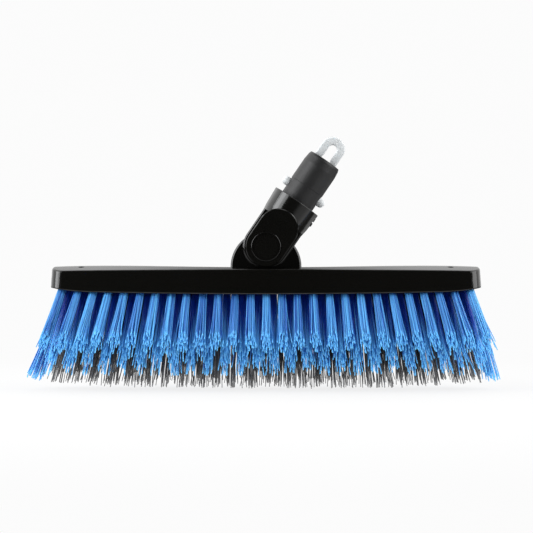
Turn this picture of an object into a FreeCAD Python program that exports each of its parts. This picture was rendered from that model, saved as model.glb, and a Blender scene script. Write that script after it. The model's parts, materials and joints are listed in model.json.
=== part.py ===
import FreeCAD, Part
import math
import os
import Sketcher

# Pool wall brush: a long block set with five rows of bristle tufts, a lug on its top, and a
# yoke that tilts on the lug and carries the spigot for a telescopic pole.
#
# Row frame: +X along the block, the working face looks down, +Z up, the origin is in the
# middle of the bristle-tip plane. The handle is drawn in its own frame, with the pivot at
# the origin, +Z along the pole and +X to its right, and is then tilted on the pivot.

Vector = FreeCAD.Vector
DOC = FreeCAD.newDocument("pool_wall_brush")
SHEET = DOC.addObject("Spreadsheet::Sheet", "Sizes")

# alias: (value, what it is); millimetres and degrees
SIZES = {
    "tool_overshoot": (5.0, "how far a cutting tool runs past the piece"),
    # block
    "block_half_length": (183.4, "middle to end of the block"),
    "block_mid_half_width": (30.0, "half the block's width in the middle"),
    "block_end_half_width": (20.5, "half the block's width at its ends"),
    "block_bottom_height": (81.2, "tip plane to the block's underside in the middle"),
    "belly_reach": (150.0, "middle of the block to where its underside turns up"),
    "belly_rise": (1.7, "how much higher the underside is there"),
    "belly_end_rise": (5.6, "how much higher the underside is at the ends"),
    "belly_end_radius": (178.0, "curve of the underside towards the ends"),
    "block_ridge_height": (104.0, "tip plane to the ridge in the middle of the block's top"),
    "block_draft": (3.5, "draft of the side walls"),
    "block_corner_radius": (11.0, "upright corners of the block, seen from above"),
    "block_top_round": (2.0, "rounding of the top edge"),
    "block_lip_round": (1.0, "rounding of the bottom edge"),
    "crown_reach": (36.0, "half-width over which the crown is drawn"),
    "crown_mid_drop": (2.6, "fall of the crown at its reach, in the middle"),
    "crown_shoulder_drop": (7.3, "fall of the crown at its reach, near the ends"),
    "crown_shoulder_at": (110.0, "where the crown starts to fall faster"),
    "crown_end_drop": (15.8, "fall of the crown at its reach, at the ends"),
    "crown_shoulder_rise": (1.2, "how much higher the ridge is there"),
    "crown_end_rise": (0.1, "how much higher the ridge is at the ends"),
    "dimple_spacing": (157.0, "middle of the block to each hanging dimple"),
    "dimple_setback": (11.0, "dimple in front of the ridge"),
    "dimple_radius": (2.6, "hanging dimple"),
    "dimple_depth": (2.5, "hanging dimple, from the ridge"),
    # lug and pivot
    "lug_radius": (30.3, "half-disc lug on the block"),
    "lug_foot": (0.5, "ridge to the middle of the half-disc"),
    "lug_thickness": (16.0, "across the lug, along the pivot"),
    "lug_round": (2.2, "rounding of the lug's rim"),
    "lug_root": (6.0, "how deep the lug is rooted in the block"),
    "pivot_rise": (17.5, "ridge to the pivot's axis"),
    "pocket_half_length": (15.0, "clearance pocket under the ears"),
    "pocket_half_width": (23.0, "clearance pocket under the ears"),
    "pocket_depth": (3.4, "clearance pocket, below the ridge"),
    "handle_tilt": (34.3, "lean of the handle from upright, towards +X"),
    # bristle tufts
    "tuft_pitch": (13.32, "tuft to tuft along a row"),
    "outer_row_count": (27, "tufts in the front, centre and rear rows"),
    "inner_row_count": (26, "tufts in the two rows between them"),
    "outer_row_offset": (21.5, "centre row to the front row, in the middle"),
    "inner_row_offset": (10.75, "centre row to the next row, in the middle"),
    "outer_row_lean": (33.0, "lean of the front and rear rows, outwards"),
    "inner_row_lean": (16.0, "lean of the rows next to the centre"),
    "outer_end_splay": (15.5, "lengthwise lean of the last front tufts"),
    "inner_end_splay": (14.5, "lengthwise lean of the last tufts of the next row"),
    "centre_end_splay": (16.5, "lengthwise lean of the last centre tufts"),
    "splay_power": (1.4, "how the splay grows along the row"),
    "outer_tip_height": (41.0, "tip plane to the front row's tips"),
    "inner_tip_height": (18.0, "tip plane to the next row's tips"),
    "tuft_hole_radius": (3.6, "blind hole for a tuft"),
    "tuft_hole_depth": (11.5, "blind hole, along the tuft"),
    "tuft_root_radius": (3.55, "tuft in its hole"),
    "tuft_neck": (3.0, "straight length of a tuft below the block"),
    "tuft_tip_radius": (5.3, "flared end of a tuft"),
    "staple_height": (2.2, "anchor staple, along the hole"),
    "staple_width": (6.4, "anchor staple, across the hole"),
    "staple_thickness": (0.7, "anchor staple's plate"),
    # yoke
    "ear_radius": (19.6, "rounded end of the ears, about the pivot"),
    "ear_half_width": (19.6, "half-width of the ears"),
    "ear_face": (17.5, "pivot's middle to an ear's outer face"),
    "ear_height": (26.0, "pivot to the top of the ears' straight part"),
    "ear_round": (1.8, "rounding of the ears' outer edges"),
    "plate_radius": (17.3, "raised plate on each ear"),
    "plate_arch_rise": (18.0, "pivot to the middle of the plate's arch"),
    "plate_face": (22.8, "pivot's middle to the raised plate's face"),
    "plate_bevel": (0.7, "bevel round the raised plate"),
    "facet_start": (26.5, "pivot to the start of the plate's slope"),
    "facet_end": (30.0, "pivot to the end of the plate's slope"),
    "facet_depth": (0.8, "step of the plate beyond its slope"),
    "slot_half_width": (8.25, "gap between the ears, half"),
    "slot_radius": (30.0, "top of that gap, about the pivot"),
    "collar_base": (16.0, "pivot to the foot of the collar's cone"),
    "collar_base_radius": (18.6, "collar at its foot"),
    "collar_shoulder": (31.0, "pivot to where the collar's cone grows slower"),
    "collar_shoulder_radius": (20.75, "collar there"),
    "collar_rim": (47.0, "pivot to the collar's rim"),
    "collar_rim_radius": (21.75, "collar at its rim"),
    "collar_rim_bevel": (0.4, "bevel of the rim"),
    "socket_floor": (32.5, "pivot to the floor of the spigot's socket"),
    "socket_radius": (15.65, "spigot's socket"),
    # pivot bolt, nut, washers and caps
    "bolt_radius": (4.0, "M8 shank"),
    "lug_bore_radius": (4.06, "running fit on the bolt"),
    "ear_bore_radius": (4.05, "bolt hole in the ears"),
    "seat_distance": (12.3, "pivot's middle to the washer seats"),
    "seat_radius": (8.9, "pockets for the bolt's head and the nut"),
    "washer_radius": (8.0, "M8 washer"),
    "washer_bore_radius": (4.2, "M8 washer"),
    "washer_thickness": (1.6, "M8 washer"),
    "hex_across": (13.0, "across the flats of head and nut"),
    "bolt_head": (4.6, "height of the low head"),
    "nut_height": (4.0, "height of the thin nut"),
    "nut_bore_radius": (4.0, "nut's thread, drawn smooth on the bolt"),
    "bolt_stickout": (0.8, "bolt beyond the nut"),
    "cap_radius": (12.5, "pivot cap"),
    "cap_socket_radius": (12.6, "recess for the pivot cap"),
    "cap_floor": (19.6, "pivot's middle to the recess's floor"),
    "cap_proud": (0.7, "cap's rim in front of the plate"),
    "cap_rim_width": (1.2, "cap's raised rim"),
    "cap_rim_height": (0.9, "cap's rim in front of its own face"),
    "cap_rim_round": (0.5, "rounding of the cap's outer edge"),
    # spigot
    "spigot_radius": (15.6, "spigot in the pole and in the socket"),
    "spigot_waist_radius": (15.35, "relieved length of the spigot round the buttons"),
    "spigot_bore_radius": (13.6, "inside of the spigot"),
    "waist_start": (46.0, "pivot to the foot of the relieved length"),
    "waist_end": (62.0, "pivot to the top of the relieved length"),
    "lead_start": (81.0, "pivot to where the spigot starts to taper"),
    "lead_end": (87.4, "pivot to the foot of the end's chamfer"),
    "lead_radius": (14.9, "spigot there"),
    "spigot_end": (89.4, "pivot to the spigot's end"),
    "spigot_end_radius": (14.2, "spigot at its end"),
    "button_height": (57.0, "pivot to the buttons"),
    "button_slot_radius": (4.4, "hole for a button"),
    "button_slot_drop": (0.7, "how far the hole is drawn out downwards"),
    "screw_height": (39.6, "pivot to the retaining screw"),
    "screw_radius": (1.5, "retaining screw's shank"),
    "screw_inner": (14.0, "pivot's line to the screw's end"),
    "screw_seat": (20.0, "pivot's line to the screw head's seat"),
    "screw_head_radius": (4.2, "retaining screw's head"),
    "screw_head_height": (1.9, "retaining screw's head"),
    "screw_head_round": (0.7, "rounding of the screw's head"),
    "screw_head_room": (4.4, "flat cut for the screw's head"),
    "screw_hole_radius": (1.55, "screw hole in the collar"),
    "drive_slot_width": (1.6, "slot in the screw's head"),
    "drive_slot_depth": (1.0, "slot in the screw's head"),
    # pole clip
    "clip_outer": (10.6, "half the clip's width"),
    "clip_inner": (3.7, "half the width inside the loop"),
    "clip_thickness": (6.0, "clip, along the pivot"),
    "clip_hinge": (101.1, "pivot to the middle of the loop's bend"),
    "clip_hinge_side": (7.15, "middle of each leg"),
    "knuckle_radius": (2.6, "rounded top of an arm"),
    "knuckle_room": (2.65, "hollow in the loop for it"),
    "shoulder_gap": (0.6, "gap beside the knuckle"),
    "leg_end": (93.0, "pivot to where a leg starts to thin"),
    "arm_thin_start": (76.0, "pivot to where the arm is thin"),
    "arm_inner": (8.0, "pivot's line to the arm's inner face"),
    "arm_end": (52.0, "pivot to the arm's lower end"),
    "button_radius": (3.85, "pole button"),
    "button_tip": (21.0, "pivot's line to the button's tip"),
    "button_dome": (3.6, "rounding of the button's tip"),
}

# a gap below this, in mm, counts as touching
TOUCHING = 1e-3
# edges are told apart by their places, to this distance in mm
NEAR = 1.0
HEX_SIDES = 6


def fill_sheet():
    """Write each size into the sheet, with its alias and what it means."""
    for row, (alias, (value, meaning)) in enumerate(SIZES.items(), start=1):
        SHEET.set(f"A{row}", meaning)
        SHEET.set(f"B{row}", str(value))
        SHEET.setAlias(f"B{row}", alias)
    DOC.recompute()


class Size:
    """A length worked out from sheet cells: its value now, and the expression that keeps it."""

    def __init__(self, value, text):
        self.value = float(value)
        self.text = text

    def __add__(self, other):
        other = as_size(other)
        return Size(self.value + other.value, f"({self.text} + {other.text})")

    def __sub__(self, other):
        other = as_size(other)
        return Size(self.value - other.value, f"({self.text} - {other.text})")

    def __mul__(self, factor):
        return Size(self.value * factor, f"({self.text} * {factor})")

    def __neg__(self):
        return Size(-self.value, f"(-1 * {self.text})")


def as_size(item):
    return item if isinstance(item, Size) else Size(item, str(item))


def cell(alias):
    return Size(SHEET.get(alias), f"Sizes.{alias}")


def number(alias):
    return float(SHEET.get(alias))


def overshoot():
    return cell("tool_overshoot")


ZERO = Size(0, "0")


# ---- sketches and features ----


def new_body(label):
    body = DOC.addObject("PartDesign::Body", label)
    body.Label = label
    return body


def new_sketch(body, name, role, offset=ZERO):
    """A sketch on one of its body's own origin planes, moved along the plane's normal."""
    plane = next(item for item in body.Origin.OriginFeatures if item.Role == role)
    sketch = body.newObject("Sketcher::SketchObject", name)
    sketch.AttachmentSupport = (plane, [""])
    sketch.MapMode = "FlatFace"
    sketch.AttachmentOffset = FreeCAD.Placement(Vector(0, 0, offset.value), FreeCAD.Rotation())
    sketch.setExpression("AttachmentOffset.Base.z", offset.text)
    return sketch


def bind(sketch, kind, size, *where):
    """One dimension of a sketch, driven by the sheet."""
    index = sketch.addConstraint(Sketcher.Constraint(kind, *where, size.value))
    sketch.setExpression(f"Constraints[{index}]", size.text)


def pin_point(sketch, edge, end, point):
    """Hold one point of a sketch at (x, y) from its origin."""
    bind(sketch, "DistanceX", point[0], -1, 1, edge, end)
    bind(sketch, "DistanceY", point[1], -1, 1, edge, end)


def add_circle(sketch, radius, centre=(ZERO, ZERO)):
    middle = Vector(centre[0].value, centre[1].value, 0)
    edge = sketch.addGeometry(Part.Circle(middle, Vector(0, 0, 1), radius.value))
    pin_point(sketch, edge, 3, centre)
    bind(sketch, "Radius", radius, edge)


def arc_centre(start, finish, radius, turn):
    """The centre of an arc of under half a circle.
    turn is 1 where the outline runs anticlockwise along it, and -1 where it runs clockwise."""
    chord = finish - start
    half = chord.Length / 2
    depth = math.sqrt(max(radius * radius - half * half, 0))
    side = Vector(-chord.y, chord.x, 0).normalize()
    return (start + finish) * 0.5 + side * (depth * turn)


def arc_between(start, finish, radius, turn):
    """An arc as above, drawn anticlockwise whichever way the outline runs."""
    centre = arc_centre(start, finish, radius, turn)
    first, last = (start, finish) if turn > 0 else (finish, start)
    first_angle = math.atan2(first.y - centre.y, first.x - centre.x)
    last_angle = math.atan2(last.y - centre.y, last.x - centre.x)
    if last_angle < first_angle:
        last_angle += 2 * math.pi
    return Part.ArcOfCircle(Part.Circle(centre, Vector(0, 0, 1), radius), first_angle, last_angle)


def add_outline(sketch, points, arcs=None):
    """A closed outline through points. arcs gives, for the edge that leaves a point, its
    radius and its turn, 1 or -1 as above; every other edge is straight."""
    arcs = arcs or {}
    spots = [Vector(x.value, y.value, 0) for x, y in points]
    edges = []
    ends = []
    for index, start in enumerate(spots):
        finish = spots[(index + 1) % len(spots)]
        if index in arcs:
            radius, turn = arcs[index]
            edges.append(sketch.addGeometry(arc_between(start, finish, radius.value, turn)))
            ends.append((1, 2) if turn > 0 else (2, 1))
        else:
            edges.append(sketch.addGeometry(Part.LineSegment(start, finish)))
            ends.append((1, 2))
    for index, edge in enumerate(edges):
        after = (index + 1) % len(edges)
        joint = Sketcher.Constraint("Coincident", edge, ends[index][1], edges[after], ends[after][0])
        sketch.addConstraint(joint)
        pin_point(sketch, edge, ends[index][0], points[index])
        if index in arcs:
            bind(sketch, "Radius", arcs[index][0], edge)


def pad(body, name, sketch, length, symmetric=False):
    feature = body.newObject("PartDesign::Pad", name)
    feature.Profile = sketch
    feature.SideType = "Symmetric" if symmetric else "One side"
    feature.Length = length.value
    feature.setExpression("Length", length.text)
    return feature


def pocket(body, name, sketch, length, symmetric=False, reversed_way=False):
    feature = body.newObject("PartDesign::Pocket", name)
    feature.Profile = sketch
    feature.SideType = "Symmetric" if symmetric else "One side"
    feature.Reversed = reversed_way
    feature.Length = length.value
    feature.setExpression("Length", length.text)
    return feature


def revolve(body, name, sketch, axis="V_Axis"):
    feature = body.newObject("PartDesign::Revolution", name)
    feature.Profile = sketch
    feature.ReferenceAxis = (sketch, [axis])
    feature.Angle = 360
    return feature


def edge_names(feature, keep):
    """The names of the feature's edges for which keep(edge) holds."""
    DOC.recompute()
    return [f"Edge{i}" for i, edge in enumerate(feature.Shape.Edges, start=1) if keep(edge)]


def dress(body, kind, name, feature, keep, size):
    """A fillet or a chamfer on the edges of a feature for which keep(edge) holds."""
    dressed = body.newObject(f"PartDesign::{kind}", name)
    dressed.Base = (feature, edge_names(feature, keep))
    driven = "Radius" if kind == "Fillet" else "Size"
    setattr(dressed, driven, size.value)
    dressed.setExpression(driven, size.text)
    DOC.recompute()
    return dressed


def check_cut(before, after):
    """A pocket that points the wrong way removes nothing, so compare the volumes."""
    if after.Shape.Volume > before.Shape.Volume - TOUCHING:
        raise ValueError(f"{after.Name} cut nothing")


# ---- the block ----


def block_half_width(along):
    """Half-width of the block's plan at a distance along it."""
    middle = number("block_mid_half_width")
    sagitta = middle - number("block_end_half_width")
    radius = arc_radius(number("block_half_length"), sagitta)
    return middle - radius + math.sqrt(radius * radius - along * along)


def block_bottom(along):
    """Height of the block's underside at a distance along it."""
    reach = number("belly_reach")
    bottom = number("block_bottom_height")
    if abs(along) <= reach:
        radius = arc_radius(reach, number("belly_rise"))
        centre = Vector(0, bottom + radius, 0)
    else:
        radius = number("belly_end_radius")
        turn = Vector(reach, bottom + number("belly_rise"), 0)
        end = Vector(number("block_half_length"), bottom + number("belly_end_rise"), 0)
        centre = arc_centre(turn, end, radius, 1)
    return centre.y - math.sqrt(radius**2 - (abs(along) - centre.x) ** 2)


def arc_radius(half_chord, sagitta):
    return (half_chord * half_chord + sagitta * sagitta) / (2 * sagitta)


def build_block():
    body = new_body("block_moulding")
    half = cell("block_half_length")
    end_half = cell("block_end_half_width")
    bottom = cell("block_bottom_height")
    ridge = cell("block_ridge_height")

    plan = new_sketch(body, "block_plan", "XY_Plane", bottom)
    side_radius = Size(
        arc_radius(half.value, number("block_mid_half_width") - end_half.value),
        "((Sizes.block_half_length ^ 2 + (Sizes.block_mid_half_width - Sizes.block_end_half_width) ^ 2)"
        " / (2 * (Sizes.block_mid_half_width - Sizes.block_end_half_width)))",
    )
    corners = [(-half, -end_half), (half, -end_half), (half, end_half), (-half, end_half)]
    add_outline(plan, corners, {0: (side_radius, 1), 2: (side_radius, 1)})
    blank = pad(body, "block_blank", plan, ridge - bottom + overshoot())
    blank.TaperAngle = -number("block_draft")
    blank.setExpression("TaperAngle", "-1 * Sizes.block_draft")
    upright = dress(body, "Fillet", "block_corners", blank, is_block_corner, cell("block_corner_radius"))

    crown = cut_crown(body, ridge)
    check_cut(upright, crown)
    belly = cut_belly(body, bottom)
    check_cut(crown, belly)
    top = dress(body, "Fillet", "block_top_edge", belly, is_top_edge, cell("block_top_round"))
    lip = dress(body, "Fillet", "block_lip", top, is_lip_edge, cell("block_lip_round"))

    room = new_sketch(body, "pocket_plan", "XY_Plane", ridge - cell("pocket_depth"))
    wide = cell("pocket_half_length")
    deep = cell("pocket_half_width")
    add_outline(room, [(-wide, -deep), (wide, -deep), (wide, deep), (-wide, deep)])
    relief = pocket(body, "ear_pocket", room, cell("pocket_depth") + overshoot(), reversed_way=True)
    DOC.recompute()
    check_cut(lip, relief)

    dimples = new_sketch(body, "dimple_plan", "XY_Plane", ridge - cell("dimple_depth"))
    for side in (-1, 1):
        add_circle(dimples, cell("dimple_radius"), (cell("dimple_spacing") * side, -cell("dimple_setback")))
    dimpled = pocket(body, "dimples", dimples, cell("dimple_depth") + overshoot(), reversed_way=True)
    DOC.recompute()
    check_cut(relief, dimpled)
    add_lug(body, ridge)
    return body


def add_lug(body, ridge):
    """Add the half-disc that carries the pivot, rooted in the block."""
    face = new_sketch(body, "lug_profile", "XZ_Plane")
    lug = cell("lug_radius")
    root = ridge - cell("lug_root")
    foot = ridge + cell("lug_foot")
    add_outline(
        face,
        [(-lug, root), (lug, root), (lug, foot), (ZERO, foot + lug), (-lug, foot)],
        {2: (lug, 1), 3: (lug, 1)},
    )
    disc = pad(body, "lug", face, cell("lug_thickness"), symmetric=True)
    DOC.recompute()
    rim = dress(body, "Fillet", "lug_rim", disc, is_lug_rim, cell("lug_round"))
    bore = new_sketch(body, "pivot_bore_profile", "XZ_Plane")
    add_circle(bore, cell("lug_bore_radius"), (ZERO, ridge + cell("pivot_rise")))
    bored = pocket(body, "pivot_bore", bore, cell("lug_thickness") + overshoot(), symmetric=True)
    DOC.recompute()
    check_cut(rim, bored)


def is_block_corner(edge):
    """The four edges of the blank that stand up."""
    box = edge.BoundBox
    return box.ZLength > box.XLength and box.ZLength > box.YLength


def is_top_edge(edge):
    """The edges of the crown that run round the block's outline, not those that cross it."""
    box = edge.BoundBox
    outside = abs(box.Center.y) > NEAR or abs(box.Center.x) > number("crown_shoulder_at") + NEAR
    return outside and box.ZMin > number("block_ridge_height") - number("crown_end_drop")


def is_lip_edge(edge):
    """The edges that run round the block's underside, not those that cross it."""
    box = edge.BoundBox
    outside = abs(box.Center.y) > NEAR or abs(box.Center.x) > number("belly_reach") + NEAR
    return outside and box.ZMax < number("block_bottom_height") + number("belly_end_rise") + NEAR


def is_lug_rim(edge):
    """The outline of each of the lug's faces, above the block."""
    above = edge.BoundBox.ZMax > number("block_ridge_height") + TOUCHING
    return above and lies_at(edge, number("lug_thickness") / 2)


def cut_crown(body, ridge):
    """Shape the top: a crown across the block that falls faster towards the ends."""
    reach = cell("crown_reach")
    over = cell("block_half_length") + overshoot()
    above = ridge + overshoot() * 2
    shoulder = cell("crown_shoulder_at")
    shoulder_peak = ridge + cell("crown_shoulder_rise")
    end_peak = ridge + cell("crown_end_rise")
    stations = [
        (-over, end_peak, "crown_end_drop"),
        (-shoulder, shoulder_peak, "crown_shoulder_drop"),
        (ZERO, ridge, "crown_mid_drop"),
        (shoulder, shoulder_peak, "crown_shoulder_drop"),
        (over, end_peak, "crown_end_drop"),
    ]
    sections = []
    for index, (along, peak, drop) in enumerate(stations):
        sketch = new_sketch(body, f"crown_section_{index}", "YZ_Plane", along)
        edge_height = peak - cell(drop)
        radius = Size(
            arc_radius(reach.value, number(drop)),
            f"((Sizes.crown_reach ^ 2 + Sizes.{drop} ^ 2) / (2 * Sizes.{drop}))",
        )
        corners = [(reach, edge_height), (-reach, edge_height), (-reach, above), (reach, above)]
        add_outline(sketch, corners, {0: (radius, 1)})
        sections.append(sketch)
    crown = body.newObject("PartDesign::SubtractiveLoft", "crown")
    crown.Profile = sections[0]
    crown.Sections = sections[1:]
    DOC.recompute()
    return crown


def cut_belly(body, bottom):
    """Shape the underside: a shallow arc along the block, which turns up at the ends."""
    half = cell("block_half_length")
    reach = cell("belly_reach")
    rise = cell("belly_rise")
    profile = new_sketch(body, "belly_profile", "XZ_Plane")
    radius = Size(
        arc_radius(reach.value, rise.value),
        "((Sizes.belly_reach ^ 2 + Sizes.belly_rise ^ 2) / (2 * Sizes.belly_rise))",
    )
    end_radius = cell("belly_end_radius")
    turn = bottom + rise
    high = bottom + cell("belly_end_rise")
    low = bottom - overshoot()
    far = half + overshoot()
    corners = [(-half, high), (-reach, turn), (reach, turn), (half, high)]
    corners += [(far, high), (far, low), (-far, low), (-far, high)]
    add_outline(profile, corners, {0: (end_radius, 1), 1: (radius, 1), 2: (end_radius, 1)})
    width = (cell("block_mid_half_width") + overshoot()) * 2
    belly = pocket(body, "belly", profile, width, symmetric=True)
    DOC.recompute()
    return belly


# ---- bristle tufts and their staples ----


class Row:
    """One row of tufts across the block."""

    def __init__(self, name, count, offset, lean, end_splay, tip_height):
        self.name = name
        self.count = int(number(count))
        self.offset = offset
        self.lean = lean
        self.end_splay = end_splay
        self.tip_height = tip_height

    def roots(self):
        """For each tuft: its mouth in the underside and the way it points."""
        pitch = number("tuft_pitch")
        half = number("tuft_pitch") * (number("outer_row_count") - 1) / 2
        for index in range(self.count):
            along = (index - (self.count - 1) / 2) * pitch
            across = self.offset * block_half_width(along) / number("block_mid_half_width")
            splay = self.end_splay * (abs(along) / half) ** number("splay_power")
            sideways = math.copysign(math.tan(math.radians(splay)), along)
            outwards = math.copysign(math.tan(math.radians(self.lean)), self.offset)
            way = Vector(sideways, outwards if self.offset else 0, -1).normalize()
            yield Vector(along, across, block_bottom(along)), way


def tuft_rows():
    outer = number("outer_row_offset")
    inner = number("inner_row_offset")
    outer_shape = (number("outer_row_lean"), number("outer_end_splay"), number("outer_tip_height"))
    inner_shape = (number("inner_row_lean"), number("inner_end_splay"), number("inner_tip_height"))
    return [
        Row("front", "outer_row_count", -outer, *outer_shape),
        Row("front_inner", "inner_row_count", -inner, *inner_shape),
        Row("centre", "outer_row_count", 0.0, 0.0, number("centre_end_splay"), 0.0),
        Row("rear_inner", "inner_row_count", inner, *inner_shape),
        Row("rear", "outer_row_count", outer, *outer_shape),
    ]


def tuft_shape(mouth, way, tip_height):
    """A bundle of bristles as one solid: straight in its hole, then flaring to its tips."""
    root = number("tuft_root_radius")
    buried = number("tuft_hole_depth") - number("staple_height")
    neck = number("tuft_neck")
    length = (mouth.z - tip_height) / -way.z
    on_floor = tip_height == 0
    # a tuft that stands on the floor is drawn longer, and cut level below
    reach = length + number("tuft_tip_radius") if on_floor else length
    outline = Part.makePolygon(
        [
            Vector(0, 0, -buried),
            Vector(root, 0, -buried),
            Vector(root, 0, neck),
            Vector(number("tuft_tip_radius"), 0, reach),
            Vector(0, 0, reach),
            Vector(0, 0, -buried),
        ]
    )
    shape = Part.Face(outline).revolve(Vector(0, 0, 0), Vector(0, 0, 1), 360)
    shape.Placement = FreeCAD.Placement(mouth, FreeCAD.Rotation(Vector(0, 0, 1), way))
    if on_floor:
        span = 2 * (number("block_half_length") + number("block_bottom_height"))
        below = Part.makeBox(span, span, span, Vector(-span / 2, -span / 2, -span))
        shape = shape.cut(below)
    return shape.Solids[0]


def hole_shape(mouth, way):
    """The tool for one blind hole, standing out of the mouth so that it cuts right through."""
    start = mouth + way * number("tuft_neck")
    depth = number("tuft_hole_depth") + number("tuft_neck")
    return Part.makeCylinder(number("tuft_hole_radius"), depth, start, way * -1)


def staple_shape(mouth, way):
    """The flat anchor that holds a folded tuft against the end of its hole."""
    width = number("staple_width")
    thick = number("staple_thickness")
    height = number("staple_height")
    plate = Part.makeBox(width, thick, height, Vector(-width / 2, -thick / 2, 0))
    buried = number("tuft_hole_depth") - height
    spot = mouth - way * buried
    plate.Placement = FreeCAD.Placement(spot, FreeCAD.Rotation(Vector(0, 0, 1), way * -1))
    return plate


def add_feature(label, shapes):
    """A node of separate solids, as one feature."""
    feature = DOC.addObject("Part::Feature", label)
    feature.Label = label
    feature.Shape = Part.makeCompound(shapes) if len(shapes) > 1 else shapes[0]
    feature.Placement = FreeCAD.Placement()
    return feature


def build_tufts():
    """The tufts and staples of every row, and the block's hole tools."""
    nodes = []
    tools = []
    for row in tuft_rows():
        roots = list(row.roots())
        tufts = [tuft_shape(mouth, way, row.tip_height) for mouth, way in roots]
        staples = [staple_shape(mouth, way) for mouth, way in roots]
        tools += [hole_shape(mouth, way) for mouth, way in roots]
        if row.name == "centre":
            nodes.append(add_feature("centre_black_tufts", tufts[1:-1]))
            nodes.append(add_feature("centre_end_tufts", [tufts[0], tufts[-1]]))
        else:
            nodes.append(add_feature(f"{row.name}_blue_tufts", tufts))
        nodes.append(add_feature(f"{row.name}_staples", staples))
    return nodes, tools


def finish_block(body, tools):
    """The moulding with its holes for the tufts."""
    holes = add_feature("tuft_holes", tools)
    block = DOC.addObject("Part::Cut", "brush_block")
    block.Label = "brush_block"
    block.Base = body
    block.Tool = holes
    DOC.recompute()
    check_cut(body, block)
    return block


# ---- the yoke ----


def build_yoke():
    body = new_body("handle_yoke")
    cone = new_sketch(body, "collar_profile", "XZ_Plane")
    base = cell("collar_base")
    rim = cell("collar_rim")
    add_outline(
        cone,
        [
            (ZERO, base),
            (cell("collar_base_radius"), base),
            (cell("collar_shoulder_radius"), cell("collar_shoulder")),
            (cell("collar_rim_radius"), rim),
            (ZERO, rim),
        ],
    )
    revolve(body, "collar", cone)

    ears = new_sketch(body, "ear_profile", "XZ_Plane")
    add_rounded_end(ears, cell("ear_radius"), cell("ear_height"))
    blank = pad(body, "ears", ears, cell("ear_face") * 2, symmetric=True)
    dress(body, "Fillet", "ear_edges", blank, is_ear_edge, cell("ear_round"))

    plates = new_sketch(body, "plate_profile", "XZ_Plane")
    add_racetrack(plates, cell("plate_radius"), cell("plate_arch_rise"))
    raised = pad(body, "raised_plates", plates, cell("plate_face") * 2, symmetric=True)
    DOC.recompute()

    stepped = cut_facets(body)
    check_cut(raised, stepped)
    lower = dress(body, "Chamfer", "plate_bevels", stepped, is_plate_edge, cell("plate_bevel"))
    bevelled = dress(body, "Chamfer", "arch_bevels", lower, is_arch_edge, cell("plate_bevel"))
    eased = dress(body, "Chamfer", "rim_bevel", bevelled, is_rim_edge, cell("collar_rim_bevel"))

    slot = new_sketch(body, "slot_profile", "XZ_Plane")
    add_circle(slot, cell("slot_radius"))
    slotted = pocket(body, "lug_slot", slot, cell("slot_half_width") * 2, symmetric=True)
    DOC.recompute()
    check_cut(eased, slotted)

    mouth = new_sketch(body, "socket_profile", "XY_Plane", cell("collar_rim"))
    add_circle(mouth, cell("socket_radius"))
    socket = pocket(body, "spigot_socket", mouth, cell("collar_rim") - cell("socket_floor"))
    DOC.recompute()
    check_cut(slotted, socket)

    through = new_sketch(body, "ear_bore_profile", "XZ_Plane")
    add_circle(through, cell("ear_bore_radius"))
    bored = pocket(body, "ear_bores", through, cell("plate_face") * 2 + overshoot(), symmetric=True)
    DOC.recompute()
    check_cut(socket, bored)

    last = bored
    for side, name in ((1, "front"), (-1, "rear")):
        last = sink(body, last, f"{name}_seat", cell("seat_radius"), cell("seat_distance"), side)
        last = sink(body, last, f"{name}_cap_recess", cell("cap_socket_radius"), cell("cap_floor"), side)

    flat = new_sketch(body, "screw_flat_profile", "YZ_Plane", cell("screw_seat"))
    add_circle(flat, cell("screw_head_room"), (ZERO, cell("screw_height")))
    spot = pocket(body, "screw_flat", flat, overshoot(), reversed_way=True)
    DOC.recompute()
    check_cut(last, spot)
    drill = new_sketch(body, "screw_hole_profile", "YZ_Plane")
    add_circle(drill, cell("screw_hole_radius"), (ZERO, cell("screw_height")))
    drilled = pocket(body, "screw_hole", drill, cell("collar_rim_radius"), reversed_way=True)
    DOC.recompute()
    check_cut(spot, drilled)
    return body


def add_rounded_end(sketch, radius, height):
    """An ear's outline: round about the pivot below, square above."""
    width = cell("ear_half_width")
    points = [(-width, ZERO), (ZERO, -radius), (width, ZERO), (width, height), (-width, height)]
    add_outline(sketch, points, {0: (radius, 1), 1: (radius, 1)})


def add_racetrack(sketch, radius, rise):
    points = [(-radius, ZERO), (ZERO, -radius), (radius, ZERO)]
    points += [(radius, rise), (ZERO, rise + radius), (-radius, rise)]
    arcs = {index: (radius, 1) for index in (0, 1, 3, 4)}
    add_outline(sketch, points, arcs)


def cut_facets(body):
    """Step each raised plate back beyond a short slope near its arch."""
    face = cell("plate_face")
    low = cell("facet_start")
    high = cell("facet_end")
    step = face - cell("facet_depth")
    top = cell("plate_arch_rise") + cell("plate_radius") + overshoot()
    outside = face + overshoot()
    sketch = new_sketch(body, "facet_profile", "YZ_Plane")
    for side in (-1, 1):
        points = [(face * side, low), (step * side, high), (step * side, top)]
        points += [(outside * side, top), (outside * side, low)]
        add_outline(sketch, points)
    cut = pocket(body, "plate_facets", sketch, cell("plate_radius") * 2 + overshoot(), symmetric=True)
    DOC.recompute()
    return cut


def lies_at(edge, distance):
    """Does an edge lie in the plane at this distance in front of or behind the pivot's middle?"""
    box = edge.BoundBox
    return box.YLength < TOUCHING and abs(abs(box.Center.y) - distance) < TOUCHING


def is_ear_edge(edge):
    """The straight sides and the round ends of the ears' outer faces."""
    box = edge.BoundBox
    below = box.ZMax < NEAR
    beside = box.XLength < TOUCHING and abs(box.Center.x) > number("ear_half_width") - TOUCHING
    return lies_at(edge, number("ear_face")) and (below or beside)


def is_crease(edge):
    """The straight lines across a raised plate, at the ends of its slope."""
    return abs(edge.BoundBox.Center.x) < TOUCHING and edge.BoundBox.ZLength < TOUCHING


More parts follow.
